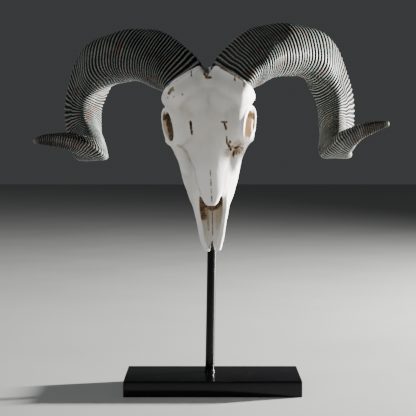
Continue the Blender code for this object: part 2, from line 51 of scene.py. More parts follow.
# Stand
BASE_WIDTH, BASE_DEPTH, BASE_HEIGHT, BASE_BEVEL = 265, 130, 24, 1.2
ROD_RADIUS = 7
ROD_FOOT = (-4.4, 16, BASE_HEIGHT)
ROD_LEAN = 1.05
ROD_LENGTH = 414
COLLAR_RADIUS, COLLAR_HEIGHT = 8.8, 4
COLLAR_LIP, COLLAR_TAPER = 0.9, 1.5
GAP = 0.3

# Where the head is held
NOSE_POINT = (-0.5, -4, 214)
HEAD_ROLL = 1.5
SKULL_PITCH = 8

# Outline of the face from the nose end to the poll: z, then the value there
TOP_HEIGHT = ((-6, 8), (0, 9), (20, 14), (40, 21), (56, 29), (68, 38), (80, 50), (100, 62), (125, 74),
              (150, 85), (175, 93), (200, 99), (225, 102), (245, 100), (258, 93), (268, 80))
SHELF_HALF = ((0, 8), (20, 12), (40, 14), (66, 15.5), (80, 16), (110, 18), (135, 20), (155, 26), (175, 40),
              (200, 48), (230, 40), (268, 30))
WIDEST_HALF = ((-6, 11), (0, 13), (15, 16.5), (31, 20.5), (48, 24), (66, 28), (78, 33), (89, 36.5),
               (101, 40.5), (124, 45), (150, 47), (185, 46), (215, 44), (268, 34))
WIDEST_HEIGHT = ((0, 4), (31, 6), (66, 12), (78, 17), (101, 24), (124, 30), (150, 40), (185, 52),
                 (230, 60), (268, 60))
NASAL_HEIGHT = ((60, 44), (68, 47), (80, 52.5), (100, 63), (125, 75), (150, 85.5), (170, 92))
NASAL_HALF = ((62, 3), (64.5, 7), (70, 11.5), (78, 15), (99, 20), (118, 23.5), (128, 28), (140, 34),
              (148, 39), (165, 44))
NASAL_ARCH = ((60, 8), (118, 8), (128, 6.9), (140, 5), (148, 3.4), (165, 2.8))
NASAL_THICKNESS = 6
PALATE_HALF = ((-6, 9), (0, 11), (31, 17), (48, 20), (66, 23), (78, 27), (101, 33), (124, 37), (150, 37),
               (168, 24), (190, 16), (268, 14))
BELLY_HEIGHT = ((-6, 0), (155, 0), (175, 8), (200, 14), (268, 18))
NOSE_ROOM = ((-6, 2), (4, 6.5), (12, 9.5), (22, 11.5), (40, 14), (64, 17), (76, 16.5), (86, 14), (130, 12))
NOSE_FLOOR = ((-6, 3), (4, 4), (40, 6), (130, 12))
SOCKET, SOCKET_FACING, SOCKET_RADII = (60, -63, 180), (0.93, -0.32, -0.2), (26.5, 26)
SEAT_POINT, SEAT_NORMAL, SEAT_RIM = (33, -73, 240), (0.53, 0.156, 0.83), 2.5
HORN_RIM = 2.0
SEAM = 0.03
ROOT_GAP = 0.5

# Horns: angle round the curl, then the middle line's place from the nose point, x outward
HORN_PATHS = {
    "horn_left": (
        (-72, 33, -39, 248), (-67, 37, -37, 254), (-44, 61, -19, 275), (-21, 90, 6, 291),
        (0, 118, 33, 299), (34, 160, 75, 289), (58, 183, 97, 267), (78, 198, 107, 241),
        (100, 206, 108, 212), (120, 205, 99, 186), (147, 199, 74, 161), (180, 194, 33, 149),
        (205, 197, 1, 155), (219, 209, -15, 166), (231, 231, -26, 177), (236, 246, -30, 181),
        (242, 268, -34, 184),
    ),
    "horn_right": (
        (-72, 34, -39, 248), (-67, 38, -37, 254), (-44, 61, -19, 273), (-21, 89, 6, 289),
        (0, 116, 33, 297), (34, 160, 75, 284), (58, 182, 97, 265), (78, 196, 107, 242),
        (100, 203, 108, 215), (120, 201, 99, 191), (147, 190, 74, 166), (180, 180, 33, 155),
        (205, 185, 1, 162), (219, 204, -15, 170), (231, 231, -26, 174), (236, 245, -30, 174),
        (242, 262, -34, 171),
    ),
}
HORN_WIDTH = ((-72, 74), (0, 72), (34, 69), (78, 60), (120, 55), (147, 52), (180, 47), (205, 38), (219, 31),
              (231, 22), (238, 14), (242, 6))
HORN_DEPTH = ((-72, 70), (-44, 71), (-21, 76), (0, 83), (34, 80), (78, 65), (120, 53), (147, 46), (180, 39),
              (205, 32), (219, 26), (231, 18), (238, 12), (242, 6))
# Keels of the horn's section: angle round the curl, then the way and the distance from the middle line
HORN_KEELS = (
    ((-72, 46, 0.7), (-46, 40, 0.68), (-34, 30, 0.67), (-14, 18, 0.66), (0, 14, 0.66), (18, 14, 0.67),
     (33, 18, 0.68), (77, 28, 0.7), (127, 33, 0.71), (180, 34, 0.72)),
    ((-72, 90, 0.4), (-34, 88, 0.42), (-14, 90, 0.44), (0, 90, 0.465), (18, 88, 0.52), (33, 80, 0.575),
     (50, 70, 0.54), (77, 66, 0.45), (127, 75, 0.41), (180, 90, 0.4)),
    ((-72, 146, 0.72), (180, 146, 0.72)),
    ((-72, 244, 0.48), (24, 244, 0.48), (45, 238, 0.49), (77, 226, 0.52), (127, 222, 0.52),
     (180, 244, 0.48)),
    ((-72, 300, 0.48), (-46, 300, 0.47), (-23, 296, 0.46), (0, 280, 0.44), (24, 272, 0.43), (45, 264, 0.44),
     (77, 250, 0.48), (127, 245, 0.49), (180, 270, 0.43)),
    ((-72, 352, 0.42), (-40, 352, 0.55), (-23, 345, 0.6), (1, 330, 0.65), (24, 318, 0.64), (45, 299, 0.58),
     (77, 276, 0.52), (127, 268, 0.5), (146, 280, 0.48), (180, 296, 0.48)),
)
HORN_EDGE_SHARPNESS = 4
SECTION_HEIGHT = 0.82

# Ridges: distance along the horn's middle line, then pitch and height there
RIDGE_PITCH = ((0, 4.7), (60, 4.9), (110, 5.8), (150, 7), (210, 7.1), (255, 5.5), (300, 5.3), (360, 5.3),
               (420, 4.4), (470, 3.3), (560, 2.4))
RIDGE_HEIGHT = ((0, 0.6), (5, 1.4), (14, 2), (110, 2.2), (150, 2.6), (210, 2.6), (260, 2.1), (340, 1.9),
                (400, 1.1), (470, 0.6), (560, 0.3))
# Rows of points over one ridge, as shares of it, and points round the horn
RIDGE_ROWS = (0, 0.06, 0.17, 0.33, 0.5, 0.67, 0.83, 0.94)
HORN_SIDES = 96
# A ridge's run along the horn for each mm across, and the share of its height under the smooth skin
RIDGE_SLANT, RIDGE_SINK = 0.45, 0.62
TIP_ROUND = 5
HORN_SIGNS = {"horn_left": 1, "horn_right": -1}
CREST_SEED, SWAY_SEED, SWELL_SEED, BROAD_SEED = 31, 5, 50, 80

# Sutures
FRONT_SUTURE = (46, 0.95)
REAR_SUTURE = (163, -0.41)
NASAL_CUT = ((56, 4), (62, 8), (66, 12), (78, 16.5), (100, 20.5), (118, 22), (140, 19), (152, 13), (160, 4))

# Grid of one half of the skull: from and to in x, y and z, the height where the horns' roots begin,
# and how far round a point its hollowness is taken, fine and broad
SKULL_ROOM = ((0, 84), (-124, 28), (-14, 288))
HORNS_FROM = 190
HOLLOW_REACHES = (3.2, 9)

# Camera, with its sensor in millimetres and its dip in degrees, and room in metres. A light is its
# place, what it points at, its diameter, its watts and its tint.
PHOTO_PIXELS, FOCAL_PIXELS, SENSOR_WIDTH = 416, 1277, 36
CAMERA_PLACE, CAMERA_DIP = (-0.007, -1.934, 0.38), 3.05
LIGHTS = {
    "key": ((2.38, 0.76, 0.42), (0, 0, 0.42), 0.2, 740, (1, 0.99, 0.97)),
    "fill": ((-2.25, -1.25, 2.25), (0, 0, 0.35), 0.6, 33, (0.97, 0.99, 1)),
}
SKY_COLOUR, SKY_STRENGTH = (0.8, 0.82, 0.84, 1), 0.06
FLOOR_HALF = 9

rng = np.random.default_rng(7)


# Smooth shapes as distance fields: negative inside

def curve(stations, t):
    """A smooth curve through stations, flat past its ends."""
    keys, values = np.array(stations, float).T
    slopes = np.gradient(values, keys)
    t = np.clip(t, keys[0], keys[-1])
    i = np.clip(np.searchsorted(keys, t) - 1, 0, len(keys) - 2)
    span = keys[i + 1] - keys[i]
    u = (t - keys[i]) / span
    rise = values[i + 1] - values[i]
    start, end = slopes[i] * span, slopes[i + 1] * span
    return values[i] + u * (start + u * (3 * rise - 2 * start - end + u * (start + end - 2 * rise)))


def ramp(value, span):
    """value as a share of span, kept between 0 and 1."""
    return np.clip(value / span, 0, 1)


def dot(a, b):
    """The scalar product of a and b."""
    return sum(c * o for c, o in zip(a, b))


def horn_tables(path):
    """Fine tables along a horn: distance, angle round the curl, middle line and the section's directions."""
    angle = np.linspace(path[0][0], path[-1][0], 1600)
    middle = np.stack([curve([(s[0], s[k]) for s in path], angle) for k in (1, 2, 3)], 1)
    along = np.gradient(middle, angle, axis=0)
    speed = np.linalg.norm(along, axis=1)
    along /= speed[:, None]
    distance = np.concatenate(((0,), np.cumsum((speed[1:] + speed[:-1]) / 2 * np.diff(angle))))
    turn = np.radians(angle)
    out = np.stack((np.zeros_like(turn), np.sin(turn), np.cos(turn)), 1)
    out -= along * (along * out).sum(1)[:, None]
    out /= np.linalg.norm(out, axis=1)[:, None]
    wide = np.cross(along, out)
    return distance, angle, middle, along, wide, out


def keel_way(keel, angle):
    """A keel's direction in the section at an angle round the curl."""
    return np.radians(curve([k[:2] for k in keel], angle))


def horn_section(way, angle):
    """Distance from the middle to the skin of a horn 1 wide, a shape with rounded keels, in a direction."""
    corners = []
    for keel in HORN_KEELS:
        turn, far = keel_way(keel, angle), curve([(k[0], k[2]) for k in keel], angle)
        corners.append((far * np.cos(turn), far * np.sin(turn)))
    total = 0.0
    for (ax, ay), (bx, by) in zip(corners, corners[1:] + corners[:1]):
        u, v = by - ay, ax - bx
        facing = (np.cos(way) * u + np.sin(way) * v) / (ax * u + ay * v)
        total = total + np.maximum(0.0, facing) ** HORN_EDGE_SHARPNESS
    return total ** (-1 / HORN_EDGE_SHARPNESS)


def blend(a, b, radius):
    """The union of two fields, with a fillet."""
    h = np.clip(0.5 + 0.5 * (b - a) / radius, 0, 1)
    return b + h * (a - b) - radius * h * (1 - h)


def carve(a, b, radius):
    """Field a with b cut out of it, with rounded edges."""
    return -blend(-a, b, radius)


def meet(a, b, radius):
    """What two fields share, with a rounded edge."""
    return -blend(-a, -b, radius)


def ellipsoid(p, centre, radii):
    d = [(c - o) / r for c, o, r in zip(p, centre, radii)]
    k0 = np.sqrt(dot(d, d))
    k1 = np.sqrt(sum((c / r) ** 2 for c, r in zip(d, radii)))
    return k0 * (k0 - 1) / np.maximum(k1, 1e-6)


def limb(p, start, end, r0, r1, flatten=(1, 1, 1)):
    """A tapering round bar; flatten stretches it along an axis."""
    a = [s / f for s, f in zip(start, flatten)]
    b = [e / f for e, f in zip(end, flatten)]
    q = [c / f for c, f in zip(p, flatten)]
    ab = [e - s for s, e in zip(a, b)]
    h = np.clip(sum((c - s) * e for c, s, e in zip(q, a, ab)) / dot(ab, ab), 0, 1)
    gap = np.sqrt(sum((c - s - h * e) ** 2 for c, s, e in zip(q, a, ab)))
    return (gap - (r0 + (r1 - r0) * h)) * min(flatten)


def limb_chain(p, knots, radius, flatten=(1, 1, 1)):
    """Bars from knot to knot; a knot is x, y, z and its radius."""
    field = None
    for (*a, ra), (*b, rb) in zip(knots, knots[1:]):
        bar = limb(p, a, b, ra, rb, flatten)
        field = bar if field is None else blend(field, bar, radius)
    return field


def socket_frame(p):
    """Distance from the middle of the eye socket's opening, 1 on its rim, and distance out of its plane."""
    n = Vector(SOCKET_FACING).normalized()
    up = (Vector((0, 0, 1)) - n * n.z).normalized()
    side = n.cross(up)
    q = [c - o for c, o in zip(p, SOCKET)]
    along, across = dot(q, up) / SOCKET_RADII[0], dot(q, side) / SOCKET_RADII[1]
    return np.sqrt(along ** 2 + across ** 2), dot(q, n)


def in_horn_frame(p, side=1):
    """Places in the bones' own frame turned into the horns' frame, and mirrored where side is -1."""
    x, y, z = p
    turn = math.radians(SKULL_PITCH)
    return side * x, y * math.cos(turn) + z * math.sin(turn), z * math.cos(turn) - y * math.sin(turn)


def horn_root(p):
    """The horn's own section at its root, as a field, and the distance along the horn from there."""
    p = in_horn_frame(p)
    angle, middle, along, wide, out = (t[0] for t in horn_tables(HORN_PATHS["horn_left"])[1:])
    q = [c - o for c, o in zip(p, middle)]
    width, depth = HORN_WIDTH[0][1], HORN_DEPTH[0][1] / SECTION_HEIGHT
    u, v = dot(q, wide) / width, dot(q, out) / depth
    wall = (np.sqrt(u * u + v * v) - horn_section(np.arctan2(v, u), angle)) * min(width, depth)
    return wall, dot(q, along)


def face_body(p):
    """The long wedge of the face and the core of the braincase, from the outline curves."""
    x, y, z = p
    height = -y
    top = curve(TOP_HEIGHT, z)
    shelf, widest, palate = curve(SHELF_HALF, z), curve(WIDEST_HALF, z), curve(PALATE_HALF, z)
    widest_at, belly = curve(WIDEST_HEIGHT, z), curve(BELLY_HEIGHT, z)
    up = np.clip((height - widest_at) / np.maximum(top - widest_at, 1), 0, 1)
    down = np.clip((widest_at - height) / np.maximum(widest_at - belly, 1), 0, 1)
    side = np.where(height > widest_at, shelf + (widest - shelf) * (1 - up ** 1.25),
                    palate + (widest - palate) * np.sqrt(1 - down ** 2))
    roof = height - top + 5 * (x / np.maximum(shelf, 1)) ** 2
    wall = (x - side) * 0.88
    return meet(meet(meet(roof, wall, 7), belly - height, 5), np.maximum(-4 - z, z - 262), 6)


def nasal_roof(p):
    """The bridge of the nose: a thin arched plate that narrows to the nasal bones' rounded end."""
    x, y, z = p
    middle = curve(NASAL_HEIGHT, z) - NASAL_THICKNESS / 2 - curve(NASAL_ARCH, z) * (x / 20) ** 2
    skin = np.abs(-y - middle) - NASAL_THICKNESS / 2
    edge = (x - curve(NASAL_HALF, z)) * 0.9
    return meet(skin, np.maximum(edge, np.maximum(63 - z, z - 170)), 4)


def nose_room(p):
    """The nose opening, and the passage behind it under the nasal bones."""
    x, y, z = p
    walls = (x - curve(NOSE_ROOM, z)) * 0.95
    floor = curve(NOSE_FLOOR, z) + y
    opening = meet(meet(walls, floor, 3), z - 78, 6)
    under = meet(-y - curve(NASAL_HEIGHT, z) + 9, z - 125, 6)
    return np.minimum(opening, meet(meet(walls, floor, 4), under, 4))


def skull_field(p):
    """The whole skull with its hollows, on one side of the midline (x is taken outward)."""
    f = face_body(p)
    for centre, radii, fillet in (
        # frontal bones: the broad brow between the eyes
        ((0, -72, 205), (58, 26, 50), 10), ((39, -74, 190), (20.5, 18, 37), 9),
        ((33, -80, 226), (27, 24, 20), 8), ((44, -84, 218), (19, 20, 17), 9),
        ((0, -82, 240), (24, 25, 27), 10),
        # body of the sphenoid bone, which the rod enters
        ((0, -13, 216), (14, 15, 24), 6),
        # walls of the eye socket
        ((46, -58, 180), (14, 24, 31), 8), ((55, -41, 197), (12, 6, 19), 5),
    ):
        f = blend(f, ellipsoid(p, centre, radii), fillet)
    # bone behind the eye socket, the socket's rim, cheek bone and its arch
    f = blend(f, limb(p, (46, -64, 212), (63, -44, 206), 8, 4.5), 5)
    f = blend(f, limb(p, (40, -58, 154), (35, -44, 122), 13, 9), 10)
    reach, out = socket_frame(p)
    f = blend(f, np.sqrt(((reach - 1) * min(SOCKET_RADII)) ** 2 + out ** 2) - 2.4, 4)
    f = blend(f, limb_chain(p, ((38, -32, 120, 5), (46, -38, 145, 6), (60, -41, 164, 5), (62, -40, 200, 3.5),
                                (56, -42, 226, 5), (44, -42, 246, 7)), 6, (0.8, 1.2, 1)), 5)
    # braincase, nuchal crest and condyles
    f = blend(f, ellipsoid(p, (0, -52, 226), (35, 42, 40)), 8)
    f = blend(f, limb(p, (0, -56, 256), (32, -44, 248), 9, 7), 8)
    f = blend(f, ellipsoid(p, (12, -20, 255), (9, 11, 12)), 6)
    f = blend(f, limb(p, (27, -42, 246), (30, 0, 241), 10, 3.5), 7)
    f = blend(f, ellipsoid(p, (20, -12, 228), (9, 10, 13)), 5)
    f = blend(f, limb(p, (10, -16, 205), (15, 4, 182), 4, 3), 5)
    # premaxillae beside the nose opening
    f = blend(f, limb_chain(p, ((9.5, -6, 2, 4.5), (14.5, -10, 20, 4.5), (18, -16, 42, 4.7),
                                (21, -25, 62, 4.5), (23, -35, 82, 2.5)), 0.5), 5)
    # nose opening, the ridge on its floor, and the nasal bones reaching free over it
    f = carve(f, nose_room(p), 1.5)
    f = blend(f, limb(p, (0, -2, 16), (0, -11, 96), 1.2, 1.6), 3)
    f = blend(f, nasal_roof(p), 2.5)
    # eye socket, with its rim trimmed flat
    f = carve(f, meet((reach - 1.08) * min(SOCKET_RADII), 1 - out, 1), 1.5)
    f = carve(f, ellipsoid(p, (66, -65, 180), (31, 20.5, 23)), 1.6)
    # groove above the eye, and the crease from the socket down to the nasal bone
    f = carve(f, limb_chain(p, ((31, -112, 214, 3), (26, -104.5, 192, 4), (24.5, -96, 170, 2)), 3), 5)
    f = carve(f, limb_chain(p, ((49, -73, 149, 1.6), (42, -75, 148, 2.2), (36.5, -71, 141, 2.8),
                                (31.5, -65, 128, 2.4), (26.5, -61.5, 114, 1.6), (23, -55, 96, 1.0)), 2), 3)
    # temporal hollow behind the socket
    f = carve(f, ellipsoid(p, (50, -60, 225), (12, 14, 13)), 4)
    # boss at each horn's root, the bone round the horn, and the notch between the bosses
    past_seat = sum((c - o) * n for c, o, n in zip(p, SEAT_POINT, SEAT_NORMAL)) - SEAT_RIM
    f = blend(f, meet(limb(p, (17, -80, 218), (34, -74, 246), 26, 35), past_seat, 4), 8)
    wall, past = horn_root(p)
    f = blend(f, meet(meet(wall - HORN_RIM, past - 2.6, 2), -past - 22, 10), 10)
    f = blend(f, limb(p, (44, -78, 232), (59, -76, 219), 13, 9.5), 7)
    f = carve(f, ellipsoid(p, (0, -100, 271), (9.5, 26, 19)), 8)
    # palate vault, rear nose openings, and the opening for the spine
    f = carve(f, limb(p, (0, 14, 20), (0, 18, 160), 13, 21), 4)
    f = carve(f, limb(p, (0, 4, 168), (0, -8, 192), 10, 7), 4)
    f = carve(f, limb(p, (0, -26, 240), (0, -24, 290), 9, 10), 3)
    # edge of the upper jaw
    f = blend(f, limb_chain(p, ((24, -1, 78, 5), (31, 0, 115, 6.5), (34, 0, 152, 6.5)), 4, (0.8, 1.3, 1)), 3)
    # gap between the two front ends
    return carve(f, limb(p, (0, -1, -8), (0, -1, 16), 4.2, 0.6, (1, 6, 1)), 1.2)


def unevenness(p, spacing):
    """Gentle random hills, about -1 to 1, one every spacing."""
    low = [c.min() - spacing for c in p]
    size = [int((c.max() - c.min()) / spacing) + 4 for c in p]
    lattice = rng.uniform(-1, 1, size).astype(np.float32)
    whole, part = [], []
    for c, o in zip(p, low):
        t = (c - o) / spacing
        i = np.floor(t).astype(np.int32)
        u = t - i
        whole.append(i)
        part.append(u * u * (3 - 2 * u))
    total = 0
    for corner in np.ndindex(2, 2, 2):
        weight = 1
        for u, on in zip(part, corner):
            weight = weight * (u if on else 1 - u)
        total = total + weight * lattice[tuple(i + on for i, on in zip(whole, corner))]
    return total


# Surface of a field

def cut_along(values, axis, low, high):
    """values from low to high along one axis."""
    return values[tuple(slice(low, high) if a == axis else slice(None) for a in range(3))]


def surface_net(field, corner, step):
    """Points and four-sided faces of the surface where field is zero."""
    pairs, spots, flipped = [], [], []
    shape = tuple(n - 1 for n in field.shape)
    for axis in range(3):
        low, high = cut_along(field, axis, 0, -1), cut_along(field, axis, 1, None)
        at = np.argwhere((low < 0) != (high < 0))
        a, b = low[tuple(at.T)], high[tuple(at.T)]
        spot = at.astype(float)
        spot[:, axis] += a / (a - b)
        cells = []
        for u, v in ((-1, -1), (0, -1), (0, 0), (-1, 0)):
            cell = at.copy()
            cell[:, (axis + 1) % 3] += u
            cell[:, (axis + 2) % 3] += v
            cells.append(np.ravel_multi_index(tuple(cell.T), shape))
        pairs.append(np.stack(cells, 1))
        spots.append(spot)
        flipped.append(a >= 0)
    pairs, spots, flipped = (np.concatenate(rows) for rows in (pairs, spots, flipped))
    cells, corners = np.unique(pairs, return_inverse=True)
    corners = corners.reshape(-1, 4)
    count = np.bincount(corners.ravel(), minlength=len(cells))
    points = np.stack([np.bincount(corners.ravel(), np.repeat(spots[:, k], 4)) / count for k in range(3)], 1)
    corners[flipped] = corners[flipped][:, ::-1]
    return points * step + np.array(corner), corners, np.stack(np.unravel_index(cells, shape), 1)


def between(values, spots):
    """values read between the grid's points, with their slope; spots are in grid steps."""
    low = np.clip(np.floor(spots).astype(int), 0, np.array(values.shape) - 2)
    part = spots - low
    total, slope = 0.0, [0.0, 0.0, 0.0]
    for corner in np.ndindex(2, 2, 2):
        value = values[tuple((low + corner).T)]
        share = [part[:, k] if corner[k] else 1 - part[:, k] for k in range(3)]
        total = total + value * share[0] * share[1] * share[2]
        for k in range(3):
            across = share[(k + 1) % 3] * share[(k + 2) % 3]
            slope[k] = slope[k] + value * across * (1 if corner[k] else -1)
    return total, np.stack(slope, 1)


def crosses(values, cells):
    """Which cells the zero surface of values passes through."""
    signs = [values[tuple((cells + corner).T)] < 0 for corner in np.ndindex(2, 2, 2)]
    return ~np.all(signs, axis=0) & np.any(signs, axis=0)


def sharpened(points, cells, corner, step, fields):
    """points moved onto the edges, in the cells that two or more of the fields pass through."""
    held = [crosses(f, cells) for f in fields]
    edge = np.sum(held, axis=0) > 1
    held = [h[edge] for h in held]
    spots = start = (points[edge] - np.array(corner)) / step
    for _ in range(6):
        for field, here in zip(fields, held):
            value, slope = between(field, spots)
            shift = slope * (value / np.maximum((slope ** 2).sum(1), 1e-9))[:, None]
            spots = np.clip(spots - shift * here[:, None], start - 0.8, start + 0.8)
    points[edge] = spots * step + np.array(corner)
    return points


def blurred(values, cells):
    """values averaged over cells on every side, twice."""
    for axis in (0, 1, 2) * 2:
        pad = [(cells + 1, cells) if a == axis else (0, 0) for a in range(3)]
        total = np.cumsum(np.pad(values, pad, mode="edge"), axis=axis, dtype=np.float64)
        width = 2 * cells + 1
        total = cut_along(total, axis, width, None) - cut_along(total, axis, 0, -width)
        values = (total / width).astype(np.float32)
    return values


# Blender objects

def put_in_scene(name, data):
    made = bpy.data.objects.new(name, data)
    bpy.context.scene.collection.objects.link(made)
    return made


def add_object(name, mesh, look):
    mesh.materials.append(look)
    return put_in_scene(name, mesh)


def add_shape(name, shape, look, sharp):
    """An object from a bmesh, smooth but for the edges sharper than an angle in degrees."""
    mesh = bpy.data.meshes.new(name)
    shape.to_mesh(mesh)
    shape.free()
    mesh.shade_smooth()
    mesh.set_sharp_from_angle(angle=math.radians(sharp))
    return add_object(name, mesh, look)


def mesh_of(name, points, faces):
    """A smooth mesh from points in millimetres."""
    made = bpy.data.meshes.new(name)
    made.from_pydata((points * MM).tolist(), [], faces)
    made.validate()
    made.shade_smooth()
    return made


def paint(mesh, name, values):
    layer = mesh.attributes.new(name, "FLOAT", "POINT")
    layer.data.foreach_set("value", np.asarray(values, np.float32))


def head_matrix():
    return Matrix.Translation(Vector(NOSE_POINT) * MM) @ Matrix.Rotation(-math.radians(HEAD_ROLL), 4, "Y")


def skull_matrix():
    return head_matrix() @ Matrix.Rotation(-math.radians(SKULL_PITCH), 4, "X")


# Materials

class Nodes:
    """Small helper that adds nodes to one material and links them."""

    def __init__(self, name):
        self.made = bpy.data.materials.new(name)
        self.made.use_nodes = True
        self.tree = self.made.node_tree
        self.shader = self.tree.nodes["Principled BSDF"]

    def add(self, kind, **inputs):
        node = self.tree.nodes.new(kind)
        for key, value in inputs.items():
            key = key.replace("_", " ")
            if key in node.inputs:
                self.put(node.inputs[key], value)
            else:
                setattr(node, key.replace(" ", "_"), value)
        return node

    def put(self, socket, value):
        if isinstance(value, bpy.types.NodeSocket):
            self.tree.links.new(value, socket)
        elif isinstance(value, bpy.types.Node):
            self.tree.links.new(value.outputs[0], socket)
        else:
            socket.default_value = value

    def read(self, name):
        return self.add("ShaderNodeAttribute", attribute_name=name).outputs["Fac"]

    def place(self):
        return self.add("ShaderNodeTexCoord").outputs["Object"]

    def noise(self, scale, detail=3.0, rough=0.5):
        place = self.place()
        made = self.add("ShaderNodeTexNoise", Vector=place, Scale=scale, Detail=detail, Roughness=rough)
        return made.outputs["Fac"]

    def spread(self, value, low, high, to_low=0.0, to_high=1.0):
        made = self.add("ShaderNodeMapRange", Value=value)
        for k, v in enumerate((low, high, to_low, to_high)):
            made.inputs[k + 1].default_value = v
        return made.outputs["Result"]

    def sum(self, a, b, how="ADD"):
        made = self.tree.nodes.new("ShaderNodeMath")
        made.operation = how
        self.put(made.inputs[0], a)
        self.put(made.inputs[1], b)
        return made.outputs[0]

    def times(self, a, b):
        return self.sum(a, b, "MULTIPLY")

    def mix(self, amount, a, b):
        made = self.tree.nodes.new("ShaderNodeMix")
        made.data_type = "RGBA"
        self.put(made.inputs[0], amount)
        for socket, value in ((made.inputs[6], a), (made.inputs[7], b)):
            self.put(socket, (*value, 1) if isinstance(value, tuple) else value)
        return made.outputs[2]

    def bump(self, height, strength, distance, onto=None):
        made = self.add("ShaderNodeBump", Height=height, Strength=strength, Distance=distance)
        if onto:
            self.put(made.inputs["Normal"], onto)
        return made.outputs["Normal"]

    def finish(self, colour, roughness, normal, gloss=0.5):
        for name, value in (("Base Color", colour), ("Roughness", roughness), ("Normal", normal),
                            ("Specular IOR Level", gloss)):
            self.put(self.shader.inputs[name], value)
        return self.made


def bone_material():
    """Chalky off-white bone with cream mottling, a brown wash in pits, seams and hollows that also carries
    two patches of painted shade, and painted grey shade in hollows with a painted highlight on raised parts.
    """
    n = Nodes("bone")
    colour = n.mix(n.spread(n.noise(38, 4), 0.40, 0.66), (0.70, 0.69, 0.65), (0.70, 0.67, 0.58))
    cool = n.spread(n.noise(14, 2), 0.45, 0.7)
    colour = n.mix(n.times(cool, 0.5), colour, (0.63, 0.64, 0.62))
    # Painted light: raised parts are mixed towards near-white as a painted highlight, and hollows towards
    # grey as painted shade.
    painted_relief_shade = n.sum(n.read("painted_relief_shade"), n.spread(n.noise(60, 3), 0.3, 0.7, -0.05, 0.05))
    colour = n.mix(n.spread(painted_relief_shade, 0.12, 0.46, 0.9, 0.0), colour, (0.86, 0.85, 0.82))
    colour = n.mix(n.spread(painted_relief_shade, 0.48, 0.85, 0.0, 0.85), colour, (0.36, 0.345, 0.29))
    colour = n.mix(n.read("tan"), colour, n.mix(n.noise(120, 3), (0.50, 0.37, 0.23), (0.68, 0.57, 0.43)))
    wash_and_shade = n.read("wash_and_shade")
    blots = n.spread(n.noise(330, 4, 0.6), 0.30, 0.70, -0.5, 0.5)
    blots = n.times(blots, n.spread(wash_and_shade, 0.0, 0.25))
    faint = n.spread(n.sum(wash_and_shade, n.times(blots, 0.35)), 0.06, 0.75)
    colour = n.mix(faint, colour, n.mix(n.noise(90, 3), (0.40, 0.26, 0.14), (0.24, 0.145, 0.07)))
    thick = n.spread(n.sum(wash_and_shade, n.times(blots, 0.8)), 0.62, 1.05)
    colour = n.mix(thick, colour, (0.045, 0.024, 0.011))
    specks = n.add("ShaderNodeTexVoronoi", Vector=n.place(), Scale=160.0, Randomness=1.0).outputs["Distance"]
    colour = n.mix(n.spread(specks, 0.02, 0.075, 0.45, 0.0), colour, (0.45, 0.36, 0.25))
    normal = n.bump(n.spread(specks, 0.04, 0.16), 0.25, 0.0004)
    normal = n.bump(n.noise(900, 3), 0.22, 0.0003, normal)
    normal = n.bump(n.noise(130, 4), 0.3, 0.0008, normal)
    return n.finish(colour, n.spread(n.noise(70, 3), 0.3, 0.7, 0.5, 0.72), normal, 0.35)


def horn_material():
    """Dark horn: greenish grey ridge backs, near-black grooves that are partly the horn's own dark colour
    and partly painted shade, rust tints, a paler worn tip.
    """
    n = Nodes("horn_sheath")
    ridge = n.read("ridge")
    blotch = n.spread(n.noise(45, 3), 0.35, 0.65)
    top = n.mix(blotch, (0.20, 0.243, 0.228), (0.295, 0.328, 0.30))
    rust = n.spread(n.noise(60, 4), 0.53, 0.69, 0.0, 0.8)
    top = n.mix(rust, top, (0.27, 0.125, 0.075))
    fibre = n.noise(700, 2)
    # The grooves are painted near-black: partly the horn's own dark colour, partly painted shade that the
    # shallow ridges would cast.
    shade = n.spread(n.sum(ridge, n.spread(fibre, 0.3, 0.7, -0.08, 0.08)), 0.79, 1.0)
    colour = n.mix(shade, n.mix(blotch, (0.006, 0.006, 0.0055), (0.018, 0.011, 0.007)), top)
    colour = n.mix(n.times(n.read("worn"), n.spread(n.noise(90, 3), 0.3, 0.7, 0.3, 1.0)), colour,
                   (0.34, 0.34, 0.30))
    normal = n.bump(fibre, 0.35, 0.0003)
    normal = n.bump(n.noise(180, 4), 0.35, 0.0006, normal)
    rough = n.spread(ridge, 0.0, 1.0, 0.62, 0.40)
    rough = n.sum(rough, n.spread(n.noise(120, 2), 0.3, 0.7, -0.06, 0.08))
    return n.finish(colour, rough, normal, 0.16)


def black_material(name, roughness):
    """Glossy black paint with faint dust and orange peel."""
    n = Nodes(name)
    dust = n.spread(n.noise(55, 5), 0.52, 0.80, 0.0, 0.5)
    colour = n.mix(dust, (0.003, 0.003, 0.0035), (0.014, 0.0135, 0.013))
    rough = n.sum(n.spread(n.noise(30, 4), 0.3, 0.75, roughness, roughness + 0.10), dust)
    rough = n.spread(rough, 0.0, 1.2, roughness, 0.45)
    n.shader.inputs["Coat Weight"].default_value = 0.06
    n.shader.inputs["Coat Roughness"].default_value = 0.06
    return n.finish(colour, rough, n.bump(n.noise(420, 1), 0.05, 0.0002), 0.2)


# Skull

def blob(full, axes, centre, radii, fillet=0.8):
    """Carves one small uneven hole, only where it reaches."""
    where, local = [], []
    for axis, c, r in zip(axes, centre, radii):
        low, high = np.searchsorted(axis, (c - r - 4, c + r + 4))
        where.append(slice(low, high))
        local.append(axis[low:high])
    where = tuple(where)
    p = np.meshgrid(*local, indexing="ij")
    full[where] = carve(full[where], ellipsoid(p, centre, radii) + 0.8 * unevenness(p, 2.4), fillet)


